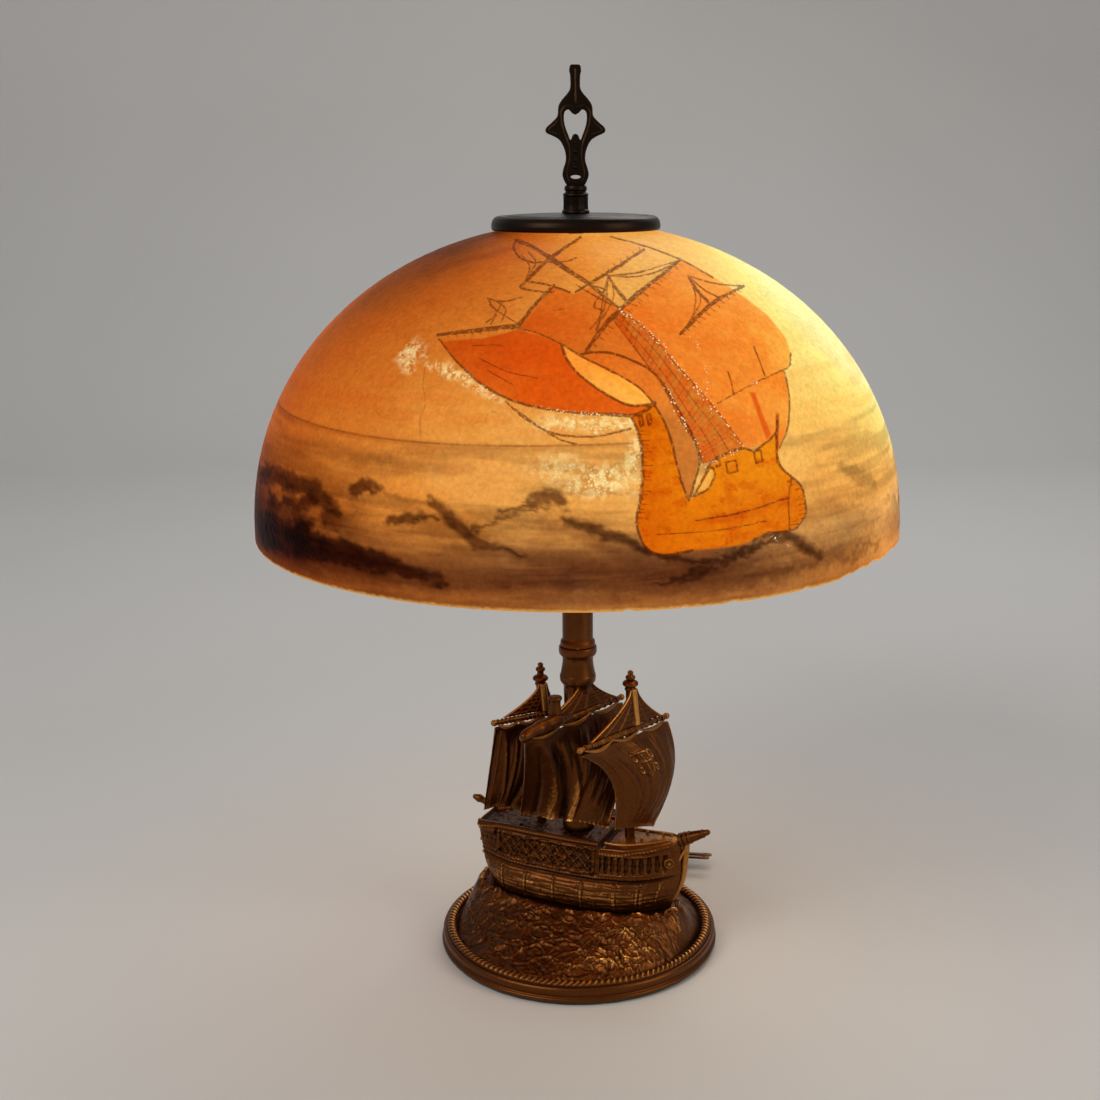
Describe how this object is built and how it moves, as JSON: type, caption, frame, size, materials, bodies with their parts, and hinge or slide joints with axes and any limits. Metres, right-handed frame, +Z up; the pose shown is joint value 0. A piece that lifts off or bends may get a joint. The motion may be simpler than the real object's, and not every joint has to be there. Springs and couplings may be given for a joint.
{
  "type": "table lamp",
  "caption": "Two-light table lamp: domed painted glass shade with a pierced finial over a cast brass base shaped as a sailing ship riding a rope-edged sea.",
  "frame": {"origin": "centre of the base's underside, on the axis shared by the pipe, column, shade and finial", "axes": "+Z up; the front of the lamp faces -Y, with the ship's bow to the right of the front (+X) and a little towards it"},
  "size_m": [0.405, 0.421, 0.572],
  "materials": {
    "antique_brass": "aged cast brass, brown in the hollows, rubbed on the high relief",
    "dark_bronze": "dark brown bronze patina, satin",
    "bright_brass": "drawn brass, lightly tarnished",
    "plated_steel": "zinc plated",
    "painted_glass": "pebbled glass, painted on the inside with a sunset seascape, lit from within",
    "bulb_glass": "inside-frosted bulb glass",
    "brown_bakelite": "moulded, dark brown",
    "fibre_liner": "vulcanised fibre",
    "cord_jacket": "brown jacket, satin",
    "felt": "dark green felt"
  },
  "bodies": {
    "lamp_stand": {"arm_nipple_left": "bright_brass", "arm_nipple_right": "bright_brass", "base_casting": "antique_brass", "base_felt": "felt", "bowsprit": "antique_brass", "chain_guide_left": "bright_brass", "chain_guide_right": "bright_brass", "cluster_body": "dark_bronze", "column_tube": "antique_brass", "cord_bushing": "brown_bakelite", "fore_sail": "antique_brass", "fore_shrouds": "antique_brass", "fore_yard": "antique_brass", "foremast": "antique_brass", "hull": "antique_brass", "lamp_pipe": "plated_steel", "lock_washer": "plated_steel", "main_mast": "antique_brass", "main_sail": "antique_brass", "main_shrouds": "antique_brass", "main_yard": "antique_brass", "mizzen_mast": "antique_brass", "mizzen_sail": "antique_brass", "mizzen_shrouds": "antique_brass", "mizzen_yard": "antique_brass", "pipe_nut": "plated_steel", "plug_blade_far": "bright_brass", "plug_blade_near": "bright_brass", "plug_body": "brown_bakelite", "power_cord": "cord_jacket", "riser_rod": "plated_steel", "screw_shell_left": "bright_brass", "screw_shell_right": "bright_brass", "shade_spider": "bright_brass", "socket_cap_left": "bright_brass", "socket_cap_right": "bright_brass", "socket_lead_left": "cord_jacket", "socket_lead_right": "cord_jacket", "socket_liner_left": "fibre_liner", "socket_liner_right": "fibre_liner", "socket_shell_left": "bright_brass", "socket_shell_right": "bright_brass", "socket_switch_left": "brown_bakelite", "socket_switch_right": "brown_bakelite", "spider_nut": "plated_steel"},
    "finial": {"finial": "dark_bronze", "finial_neck": "dark_bronze"},
    "shade": {"glass_shade": "painted_glass", "cap_gasket": "felt", "shade_cap": "dark_bronze"},
    "pull_chain_right": {"pull_chain_right": "bright_brass"},
    "pull_chain_left": {"pull_chain_left": "bright_brass"},
    "bulb_right": {"bulb_base_right": "bright_brass", "bulb_glass_right": "bulb_glass"},
    "bulb_left": {"bulb_base_left": "bright_brass", "bulb_glass_left": "bulb_glass"}
  },
  "joints": [
    {"name": "shade_turn", "type": "hinge", "parent": "lamp_stand", "child": "shade", "pos_m": [0, 0, 0.4], "axis": [0, 0, 1], "continuous": true},
    {"name": "finial_turn", "type": "hinge", "parent": "lamp_stand", "child": "finial", "pos_m": [0, 0, 0.49], "axis": [0, 0, 1], "continuous": true},
    {"name": "pull_chain_right_pull", "type": "slide", "parent": "lamp_stand", "child": "pull_chain_right", "axis": [0, 0, -1], "range_m": [0, 0.0095]},
    {"name": "pull_chain_left_pull", "type": "slide", "parent": "lamp_stand", "child": "pull_chain_left", "axis": [0, 0, -1], "range_m": [0, 0.0095]},
    {"name": "bulb_right_unscrew", "type": "hinge", "parent": "lamp_stand", "child": "bulb_right", "pos_m": [0.08988, 0, 0.38684], "axis": [0.8988, 0, 0.4384], "continuous": true},
    {"name": "bulb_left_unscrew", "type": "hinge", "parent": "lamp_stand", "child": "bulb_left", "pos_m": [-0.08988, 0, 0.38684], "axis": [-0.8988, 0, 0.4384], "continuous": true}
  ]
}
